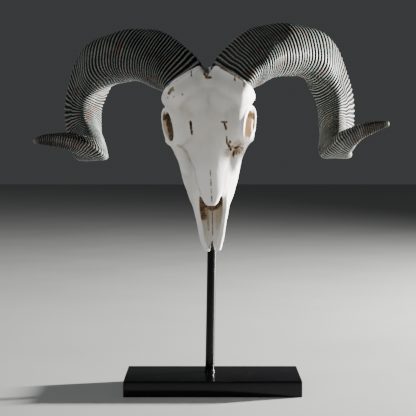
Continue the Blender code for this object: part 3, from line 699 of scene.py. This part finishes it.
# Holes and slits that differ from side to side: centre, radii
HOLES = (
    ((-26.8, -93, 180), (2, 6, 3.4)), ((-26.2, -92, 174), (1.4, 4, 3.6)),
    ((-25.4, -90.5, 167.5), (1, 2.2, 3.4)), ((20, -95, 180.3), (2.4, 3, 1.1)),
    ((24.8, -94, 180), (2, 3.5, 1.3)), ((22.6, -94, 177), (1.5, 5, 2.2)),
    ((24.4, -92, 172), (1, 3, 3)), ((25.2, -82, 155), (1, 3.5, 4.4)),
    ((29.8, -79, 153), (1.2, 3.5, 1.4)), ((27.6, -77, 148), (1.3, 4, 2)),
    ((30, -72, 144), (1.5, 4, 2.4)), ((34.7, -65, 137), (1.1, 4, 3.8)), ((39, -70, 146), (3.8, 3, 1.4)),
    ((-53.5, -95, 227.5), (2, 3, 2.2)), ((-56.8, -90, 223), (1.4, 3, 1.3)),
    ((-51, -98, 229.5), (1.1, 2.6, 1.3)), ((-37.5, -102.5, 219.7), (1.2, 2.6, 1)),
    ((-50, -93, 217), (1, 2.6, 1)), ((-59, -86, 218), (0.9, 2.6, 0.9)),
    ((-5, -99.5, 250.2), (1.9, 2.6, 1.3)), ((-1.4, -101, 243.3), (1.7, 3, 1.2)),
    ((3.8, -101, 244), (1.1, 2.6, 1.1)), ((1.5, -97, 254.5), (1.2, 2.6, 1.8)),
    ((-23.6, -107, 250), (0.8, 2.2, 3.4)), ((39, -107, 240), (1.1, 2.6, 1.2)),
    ((52, -99, 232), (1, 2.6, 1.3)),
)

# Brown stains seen from the front, and two broad patches of painted shade below the left eye: points as x,
# z, then the width and the strength
FACE_STAINS_AND_SHADE = (
    (((-5, 250.5), (-1.5, 243.5), (4, 244)), 1.8, 0.9), (((1.5, 256), (0, 248), (-1.4, 243)), 1.2, 0.8),
    (((-23.6, 254), (-23.7, 246)), 0.8, 0.8), (((-53.5, 227.5), (-56.8, 223)), 2.2, 0.9),
    (((-51, 230), (-50.5, 226)), 1.4, 0.8), (((-37.5, 219.7), (-37.5, 219.5)), 1.3, 0.8),
    (((-50, 217), (-50, 216.5)), 1.2, 0.6), (((-59, 218), (-59, 217)), 1.1, 0.6),
    (((-24, 222), (-24, 221.8)), 0.8, 0.4), (((31.5, 223.8), (31.5, 223.4)), 0.9, 0.4),
    (((19, 258.5), (30, 251), (40, 245), (57, 234)), 1.1, 0.7), (((39, 243), (39, 238)), 1.1, 0.8),
    (((52.5, 235), (52, 230)), 1.2, 0.8), (((-58, 232), (-40, 243), (-22, 256)), 0.8, 0.35),
    (((-26.8, 182), (-26.6, 176), (-25.3, 165)), 1.5, 0.95), (((18.5, 180.5), (25.5, 180.2)), 1.2, 0.9),
    (((22.3, 180), (23, 176), (24.8, 170)), 1.3, 0.9), (((25.1, 160), (25, 150)), 1.1, 0.9),
    (((30, 154), (30, 152)), 1.3, 0.9), (((27, 150), (31, 142)), 1.7, 0.95),
    (((34.8, 141.5), (34.7, 132)), 1.2, 0.9), (((31, 146), (39, 146), (49, 145)), 2, 0.75),
    # These two broad patches below the left eye are partly a real brown smudge and partly painted shade
    # where the horn's curl shades the cheek.
    (((38, 140), (49, 141)), 4, 0.75), (((28, 138), (44, 150)), 6, 0.55),
    (((-40, 147), (-33.6, 140.5), (-29, 128), (-23.5, 118), (-21, 99), (-14.6, 80)), 0.9, 0.32),
    (((-47, 151), (-40, 147)), 1.3, 0.4), (((25, 117), (21.7, 97), (20.2, 88.6), (17.4, 78.7)), 0.8, 0.5),
    (((-4, 3), (-0.5, 14), (0.8, 20)), 1.6, 0.6), (((-7, 8), (-6, 26)), 0.8, 0.4),
    (((6, 4), (8, 22)), 0.8, 0.35), (((0.2, 113), (0.4, 104)), 0.7, 0.85),
    (((0.5, 100), (0.6, 91)), 0.8, 0.9), (((0.7, 87), (0.9, 80)), 0.7, 0.85),
    (((1, 77), (1.3, 68)), 0.8, 0.9),
)

# The same on the floor and walls of the nose opening, and in each eye socket (positive x is the left eye)
NOSE_STAINS = (
    (((-15, 80), (-14, 66), (-12, 50)), 5, 0.85), (((-10, 68), (0, 62), (9, 64)), 3.4, 0.8),
    (((16, 79), (14, 69), (7, 63)), 3, 0.9), (((-6, 60), (-5, 30)), 1.6, 0.5),
    (((1.5, 60), (1, 22)), 0.8, 0.7), (((9, 56), (7, 30)), 1.4, 0.25),
)
EYE_STAINS = (
    (((52, 204), (66, 198)), 7, 0.75), (((-63, 199), (-60, 188), (-57, 174), (-54, 162)), 4.2, 1),
    (((-56, 202), (-66, 196)), 4, 0.8), (((51, 182), (53, 166)), 2.2, 0.5),
    (((60, 172), (62, 160)), 2, 0.4), (((-60, 164), (-64, 158)), 2.4, 0.55),
)


def stain_and_shade(points, normals, stains, keen=3.0):
    """How brown each point is, from painted stains and patches of painted shade, on what faces the viewer.
    """
    amount = np.zeros(len(points))
    facing = np.clip(-normals[:, 1] * keen + 0.1, 0, 1)
    spot = points[:, (0, 2)]
    for line, width, strength in stains:
        line = np.array(line, float)
        near = np.full(len(points), 1e9)
        for a, b in zip(line, line[1:]):
            along = np.clip(((spot - a) @ (b - a)) / ((b - a) @ (b - a)), 0, 1)
            near = np.minimum(near, np.linalg.norm(spot - a - along[:, None] * (b - a), axis=1))
        amount = np.maximum(amount, strength * np.clip(1.7 - near / width, 0, 1) ** 1.3 * facing)
    return amount


def normals_of(mesh):
    made = np.empty(len(mesh.vertices) * 3, np.float32)
    mesh.vertex_normals.foreach_get("vector", made)
    return made.reshape(-1, 3)


def paint_bone(mesh, points, hollow, deep):
    """Paints where the bone is brown, in stains, pits and openings (with two patches of painted shade),
    painted shade in its hollows and a painted highlight on its raised parts, and where tan.
    """
    x, y, z = points.T
    normals = normals_of(mesh)
    outward = (np.abs(x), y, z)
    reach, out = socket_frame(outward)
    in_eye = ramp(1.0 - reach, 0.07) * ramp(0.6 - out, 1.5) * (np.abs(x) > 20)
    roof = curve(NASAL_HEIGHT, z) - curve(NASAL_ARCH, z) * (x / 20) ** 2
    in_nose = np.clip(1.2 - nose_room(outward) / 1.4, 0, 1)
    in_nose = in_nose * ramp(roof + y - 3, 1.5) * ramp(z - 2, 12)
    wash_and_shade = np.maximum.reduce((
        ramp(hollow - 0.62, 0.22) * 0.6 + ramp(deep - 0.64, 0.2) * 0.15,
        in_eye * (0.26 + ramp(-out - 5, 12) * 0.4),
        in_eye * stain_and_shade(points, normals, EYE_STAINS, 30),
        in_nose * ramp(z - 70, 12) * 0.9,
        in_nose * stain_and_shade(points, normals, NOSE_STAINS, 30),
        # Face stains, with two patches of painted shade below the left eye.
        (1 - in_nose) * stain_and_shade(points, normals, FACE_STAINS_AND_SHADE),
    ))
    paint(mesh, "wash_and_shade", np.clip(wash_and_shade, 0, 1))
    # Painted shade in hollows and painted highlight on raised parts, from how hollow the bone is round each
    # point.
    paint(mesh, "painted_relief_shade", np.clip(0.5 + 1.1 * (hollow - 0.5) + 2.2 * (deep - 0.5), 0, 1))
    paint(mesh, "tan", np.clip(np.maximum(in_eye, in_nose * np.clip((z - 30) / 30, 0.15, 0.6)), 0, 1))


def horn_space(p, name, side):
    """A field of the horn near its root, in the bones' own frame."""
    p = in_horn_frame(p, side)
    angle, middle, along, wide, out = horn_tables(HORN_PATHS[name])[1:]
    ways = np.linspace(-math.pi, math.pi, 721)
    nearest = np.full(p[0].shape, 1e9, np.float32)
    space = np.full(p[0].shape, 50, np.float32)
    for i in np.linspace(0, len(angle) * 0.3, 22).astype(int):
        q = [c - o for c, o in zip(p, middle[i].astype(np.float32))]
        past = dot(q, along[i].astype(np.float32))
        width = float(curve(HORN_WIDTH, angle[i]))
        depth = float(curve(HORN_DEPTH, angle[i])) / SECTION_HEIGHT
        u = dot(q, wide[i].astype(np.float32)) / width
        v = dot(q, out[i].astype(np.float32)) / depth
        reach = np.interp(np.arctan2(v, u), ways, horn_section(ways, angle[i]))
        wall = (np.sqrt(u * u + v * v) - reach) * min(width, depth)
        if i == 0:
            wall = np.maximum(wall, -past)
        nearer = np.abs(past) < nearest
        space[nearer] = wall[nearer]
        nearest[nearer] = np.abs(past)[nearer]
    return space


def rod_space(p):
    """A field of the rod, in the bones' own frame."""
    foot = Vector(ROD_FOOT) * MM
    lean = math.radians(ROD_LEAN)
    top = foot + Vector((math.sin(lean), 0, math.cos(lean))) * ROD_LENGTH * MM
    back = skull_matrix().inverted()
    foot, top = back @ foot / MM, back @ top / MM
    way = (top - foot).normalized()
    q = [c - o for c, o in zip(p, top)]
    past = dot(q, way)
    return np.maximum(np.sqrt(np.maximum(dot(q, q) - past ** 2, 0)) - ROD_RADIUS, past)


def whole_skull():
    """The whole skull's field with its unevenness, holes and slits, the grid's axes and its points."""
    half, y, z = (np.arange(*ends, GRID, dtype=np.float32) for ends in SKULL_ROOM)
    side = skull_field(np.meshgrid(half, y, z, indexing="ij")).astype(np.float32)
    full = np.concatenate((side[:0:-1], side))
    axes = (np.concatenate((-half[:0:-1], half)), y, z)
    p = np.meshgrid(*axes, indexing="ij")
    full += 0.45 * unevenness(p, 17.0) + 0.16 * unevenness(p, 5.5)
    for centre, radii in HOLES:
        blob(full, axes, centre, radii)
    return full, axes, p


def bone_regions(p, z):
    """The cuts that bound each bone, and the side of the midline it lies on (0 is both)."""
    px, py, pz = p
    wander = 0.5 * np.sin(px * 0.9) + 0.35 * np.sin(px * 2.1 + 1)
    front = (pz - FRONT_SUTURE[0] + FRONT_SUTURE[1] * py) * 0.72 + 0.4 * np.sin(pz * 0.8)
    rear = (pz - REAR_SUTURE[0] + REAR_SUTURE[1] * py) * 0.92 + wander
    halves = curve(NASAL_CUT, z).astype(np.float32)
    under = (-py) - curve(NASAL_HEIGHT, z).astype(np.float32) + NASAL_THICKNESS + 3
    nasal = np.maximum(np.abs(px) - halves + 0.35 * np.sin(pz * 0.9), -under)
    nasal = np.maximum(nasal, np.maximum(NASAL_CUT[0][0] - pz, pz - NASAL_CUT[-1][0]))
    paired = {"premaxilla": (front, -nasal), "maxilla": (-front, rear, -nasal), "nasal_bone": (nasal,)}
    regions = {"cranium": ((-rear, -nasal), 0)}
    for name, cuts in paired.items():
        regions[name + "_left"] = (cuts, 1)
        regions[name + "_right"] = (cuts, -1)
    return regions


def horn_sockets(p, z):
    """A field that clears the horns' roots and the gap round them out of the bone."""
    high = np.searchsorted(z, HORNS_FROM)
    near = [c[:, :, high:] for c in p]
    field = np.full(p[0].shape, -50, np.float32)
    for name, side in HORN_SIGNS.items():
        field[:, :, high:] = np.maximum(field[:, :, high:], ROOT_GAP - horn_space(near, name, side))
    return field


def bone_mesh(name, full, cuts, axes):
    """The mesh of what the cuts leave of the skull, and its points."""
    field = np.maximum.reduce([full, *cuts])
    inside = field < 0
    keep = [np.flatnonzero(inside.any(axis=others)) for others in ((1, 2), (0, 2), (0, 1))]
    window = tuple(slice(max(k[0] - 2, 0), k[-1] + 3) for k in keep)
    low = [axis[w.start] for axis, w in zip(axes, window)]
    points, faces, cells = surface_net(field[window], low, GRID)
    points = sharpened(points, cells, low, GRID, [f[window] for f in (full, *cuts)])
    mesh = mesh_of(name, points.astype(np.float32), faces.tolist())
    mesh.set_sharp_from_angle(angle=math.radians(50))
    return mesh, points


def build_skull(look):
    """The bones, each as its own piece. Returns them by name."""
    full, axes, p = whole_skull()
    corner = np.array([axis[0] for axis in axes])
    solid = np.clip(0.5 - full / GRID, 0, 1).astype(np.float32)
    fine, broad = (blurred(solid, round(reach / GRID)) for reach in HOLLOW_REACHES)
    middle = p[0] + 0.3 * np.sin(p[2] * 0.7)
    rod = GAP - rod_space(p).astype(np.float32)
    horns = horn_sockets(p, axes[2])
    bones = {}
    for name, (cuts, sign) in bone_regions(p, axes[2]).items():
        cuts = [c + SEAM for c in cuts] + [rod] + ([SEAM - sign * middle] if sign else [horns])
        mesh, points = bone_mesh(name, full, cuts, axes)
        hollow, deep = (between(values, (points - corner) / GRID)[0] for values in (fine, broad))
        paint_bone(mesh, points, hollow, deep)
        mesh.transform(skull_matrix())
        bones[name] = add_object(name + "_fine", mesh, look)
    return bones


# Horns

def waves(u, way, seed):
    """A slow wander of the ridges round the horn, in step from ridge to ridge."""
    own = np.random.default_rng(seed)
    total = 0
    for turns in (1, 2, 3, 4, 6):
        pace, start = own.uniform(0.02, 0.06), own.uniform(0, 6.3)
        total = total + np.sin(turns * way + u * pace * own.choice((-1, 1)) + start) / turns ** 0.6
    return total


def keel_bend(way, angle):
    """How far a ridge runs ahead on its lateral face and lags at the keels beside it, in mm."""
    upper, lower = keel_way(HORN_KEELS[0], angle), keel_way(HORN_KEELS[5], angle) - 2 * math.pi

    def hill(at, width):
        off = np.angle(np.exp(1j * (way - at)))
        return np.exp(-(off / math.radians(width)) ** 2)
    return (3.2 * hill(0.4 * upper + 0.6 * lower, 19) - 1.0 * hill(upper, 20) - 1.6 * hill(lower - 0.25, 24)
            + 1.4 * hill(math.radians(150), 26))


def ridge_crests(length, own):
    """Where each ridge begins along the middle line."""
    crests = [0.0]
    while crests[-1] < length - 1.5:
        crests.append(crests[-1] + float(curve(RIDGE_PITCH, crests[-1])) * own.uniform(0.84, 1.16))
    return np.array(crests)


def ridge_rows(crests, length):
    """The rows of points, counted in ridges from the root."""
    rows = RIDGE_ROWS
    number = (np.arange(len(crests) - 1)[:, None] + np.array(rows)[None, :]).ravel()
    last, end = (np.interp(length - short, crests, np.arange(len(crests))) for short in (1.2, 0.4))
    return np.append(number[: np.searchsorted(number, last)], end)


def ridge_sway(number, way, place, turn, length, seed):
    """How far a ridge runs ahead of its place on the middle line, in each direction round it."""
    sway = keel_bend(way, turn) * (1 - 0.75 * ramp(place - 200, 80)) + 0.9 * waves(number, way, seed)
    sway *= ramp(place, 18) * ramp(length - place, 60)
    slant = RIDGE_SLANT * ramp(place, 60) * ramp(length - place, 140)
    return sway - slant * horn_section(way, turn) * np.cos(way) * curve(HORN_WIDTH, turn)


def horn_faces(rows, sides):
    """Four-sided faces between the rows, then triangles from each end row to its middle point."""
    index = np.arange(rows * sides).reshape(rows, sides)
    near, far = index[:-1], index[1:]
    quads = np.stack((near, far, np.roll(far, -1, 1), np.roll(near, -1, 1)), -1).reshape(-1, 4)
    root_hub, tip_hub = np.full(sides, rows * sides), np.full(sides, rows * sides + 1)
    root = np.stack((index[0], np.roll(index[0], -1), root_hub), -1)
    tip = np.stack((np.roll(index[-1], -1), index[-1], tip_hub), -1)
    return quads, np.concatenate((root, tip))


def build_horn(name, side, look):
    """A ridged horn whose rows of points follow the ridges."""
    distance, angle, middle, _, wide, out = horn_tables(HORN_PATHS[name])
    length = distance[-1]
    own = np.random.default_rng(CREST_SEED + side)
    crests = ridge_crests(length, own)
    ways = np.linspace(0, 2 * math.pi, HORN_SIDES, endpoint=False)
    number, way = np.meshgrid(ridge_rows(crests, length), ways, indexing="ij")
    place = np.interp(number, np.arange(len(crests)), crests)
    turn = np.interp(place, distance, angle)
    place = np.clip(place + ridge_sway(number, way, place, turn, length, SWAY_SEED + side), 0, length)
    turn = np.interp(place, distance, angle)

    def at(table):
        return np.stack([np.interp(place, distance, table[:, k]) for k in range(3)], -1)

    near_tip = np.clip(place - (length - TIP_ROUND), 0, TIP_ROUND)
    close = np.sqrt(np.clip(1 - (near_tip / (TIP_ROUND + 0.2)) ** 2, 0, 1))[..., None]
    reach = horn_section(way, turn)
    across = reach * np.cos(way) * curve(HORN_WIDTH, turn)
    deep = reach * np.sin(way) * curve(HORN_DEPTH, turn) / SECTION_HEIGHT
    arm = across[..., None] * at(wide) + deep[..., None] * at(out)
    skin = at(middle) + arm * close
    normal = np.cross(np.roll(skin, -1, 1) - np.roll(skin, 1, 1), np.gradient(skin, axis=0))
    normal /= np.maximum(np.linalg.norm(normal, axis=-1, keepdims=True), 1e-9)
    normal *= np.sign((normal * arm).sum(-1, keepdims=True))

    profile = 1 - (2 * (number - np.floor(number)) - 1) ** 2
    strong = own.uniform(0.85, 1.12, len(crests) + 1)
    swell = 1 + 0.10 * waves(number * 1.7, way, SWELL_SEED + side)
    height = curve(RIDGE_HEIGHT, place) * np.interp(number, np.arange(len(crests) + 1), strong) * swell
    broad = 0.7 * np.sin(number * 0.55 + 0.6 * waves(number, way, BROAD_SEED + side))
    broad = broad * ramp(place, 30) * ramp(length - place, 120)
    skin = skin + normal * (height * (profile - RIDGE_SINK) + broad)[..., None] * close

    points = np.concatenate((skin.reshape(-1, 3), skin[:1].mean(1), skin[-1:].mean(1)))
    quads, ends = horn_faces(*number.shape)
    if side < 0:
        points = points * np.array((-1, 1, 1))
        quads, ends = quads[:, ::-1], ends[:, (1, 0, 2)]
    made = mesh_of(name, points, quads.tolist() + ends.tolist())
    for label, values in (
        # ridge: the ridge profile. The horn material paints its low share near-black, partly as painted
        # shade in the grooves.
        ("ridge", np.clip(profile * np.clip(0.66 + height / 2.4, 0, 1), 0, 1)),
        ("worn", ramp(place - length + 12, 12) ** 2 * 0.7),
    ):
        paint(made, label, np.append(values.ravel(), (0.5, 0.8)))
    made.transform(head_matrix())
    return add_object(name + "_fine", made, look)


# Stand

def turned(name, profile, look, sides=64):
    """A round piece from a profile of radius and height."""
    made = bmesh.new()
    rings = []
    for radius, height in profile:
        ways = [2 * math.pi * k / sides for k in range(sides)]
        spots = [Vector((radius * math.cos(way), radius * math.sin(way), height)) * MM for way in ways]
        rings.append([made.verts.new(spot) for spot in spots])
    for near, far in zip(rings, rings[1:]):
        for corners in zip(near, near[1:] + near[:1], far[1:] + far[:1], far):
            made.faces.new(corners)
    made.faces.new(rings[0][::-1])
    made.faces.new(rings[-1])
    return add_shape(name, made, look, 40)


def build_base(look):
    """The flat base, with bevelled edges."""
    shape = bmesh.new()
    bmesh.ops.create_cube(shape, size=1)
    bmesh.ops.scale(shape, vec=Vector((BASE_WIDTH, BASE_DEPTH, BASE_HEIGHT)) * MM, verts=shape.verts)
    bmesh.ops.bevel(shape, geom=shape.edges[:], offset=BASE_BEVEL * MM, segments=4, profile=0.5,
                    affect="EDGES")
    base = add_shape("stand_base_fine", shape, look, 30)
    base.location.z = BASE_HEIGHT * MM / 2
    return base


def build_rod(look):
    """The rod, with a bevelled upper end."""
    outline = ((ROD_RADIUS, GAP), (ROD_RADIUS, ROD_LENGTH - 1), (ROD_RADIUS - 1, ROD_LENGTH))
    rod = turned("stand_rod_fine", outline, look)
    rod.location = Vector(ROD_FOOT) * MM
    rod.rotation_euler.y = math.radians(ROD_LEAN)
    return rod


def build_collar(look):
    """The low collar round the rod's foot, rounded over a straight lip."""
    bead = [(COLLAR_RADIUS, 0.0), (COLLAR_RADIUS, COLLAR_LIP)]
    for k in range(1, 9):
        t = k / 8 * math.pi / 2
        rise = (COLLAR_HEIGHT - COLLAR_LIP) * (1 - math.cos(t))
        bead.append((COLLAR_RADIUS - COLLAR_TAPER * math.sin(t), COLLAR_LIP + rise))
    collar = turned("stand_collar_fine", bead, look)
    collar.location = Vector(ROD_FOOT) * MM
    return collar


# Room

def add_light(name, place, aim, size, power, tint):
    light = bpy.data.lights.new(name, "AREA")
    light.shape = "DISK"
    light.size = size
    light.energy = power
    light.color = tint
    made = put_in_scene(name, light)
    made.location = place
    made.rotation_euler = (Vector(aim) - Vector(place)).to_track_quat("-Z", "Y").to_euler()


def floor_material():
    n = Nodes("floor_paint")
    colour = n.mix(n.noise(1.3, 2), (0.45, 0.45, 0.45), (0.49, 0.49, 0.485))
    rough = n.spread(n.noise(4, 2), 0.3, 0.7, 0.55, 0.7)
    return n.finish(colour, rough, n.bump(n.noise(60, 2), 0.05, 0.001))


def build_room():
    """Pale floor, a key light and a fill light, a faint sky, and the camera at the photograph's angle."""
    floor_mesh = bpy.data.meshes.new("floor")
    corners = [(x * FLOOR_HALF, y * FLOOR_HALF, 0) for x, y in ((-1, -1), (1, -1), (1, 1), (-1, 1))]
    floor_mesh.from_pydata(corners, [], [(0, 1, 2, 3)])
    add_object("floor", floor_mesh, floor_material())
    world = bpy.data.worlds.new("studio")
    bpy.context.scene.world = world
    world.use_nodes = True
    sky = world.node_tree.nodes["Background"]
    sky.inputs["Color"].default_value = SKY_COLOUR
    sky.inputs["Strength"].default_value = SKY_STRENGTH
    for name, light in LIGHTS.items():
        add_light(name, *light)
    camera = bpy.data.cameras.new("camera")
    camera.sensor_width = SENSOR_WIDTH
    camera.lens = FOCAL_PIXELS / PHOTO_PIXELS * SENSOR_WIDTH
    camera.clip_start = 0.05
    made = put_in_scene("camera", camera)
    made.location = CAMERA_PLACE
    made.rotation_euler = (math.radians(90 - CAMERA_DIP), 0, 0)
    bpy.context.scene.camera = made


def main():
    lacquer, rod_paint = black_material("black_lacquer", 0.10), black_material("black_rod", 0.14)
    pieces = build_skull(bone_material())
    slots = dict.fromkeys(pieces, "bone")
    sheath = horn_material()
    for name, side in HORN_SIGNS.items():
        pieces[name] = build_horn(name, side, sheath)
        slots[name] = "horn_sheath"
    pieces["stand_base"] = build_base(lacquer)
    pieces["stand_rod"] = build_rod(rod_paint)
    pieces["stand_collar"] = build_collar(rod_paint)
    slots |= {"stand_base": "black_lacquer", "stand_rod": "black_rod", "stand_collar": "black_rod"}
    for node, piece in pieces.items():
        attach(piece, "root")
        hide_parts(node)
    build_room()
    bpy.context.view_layer.update()


main()
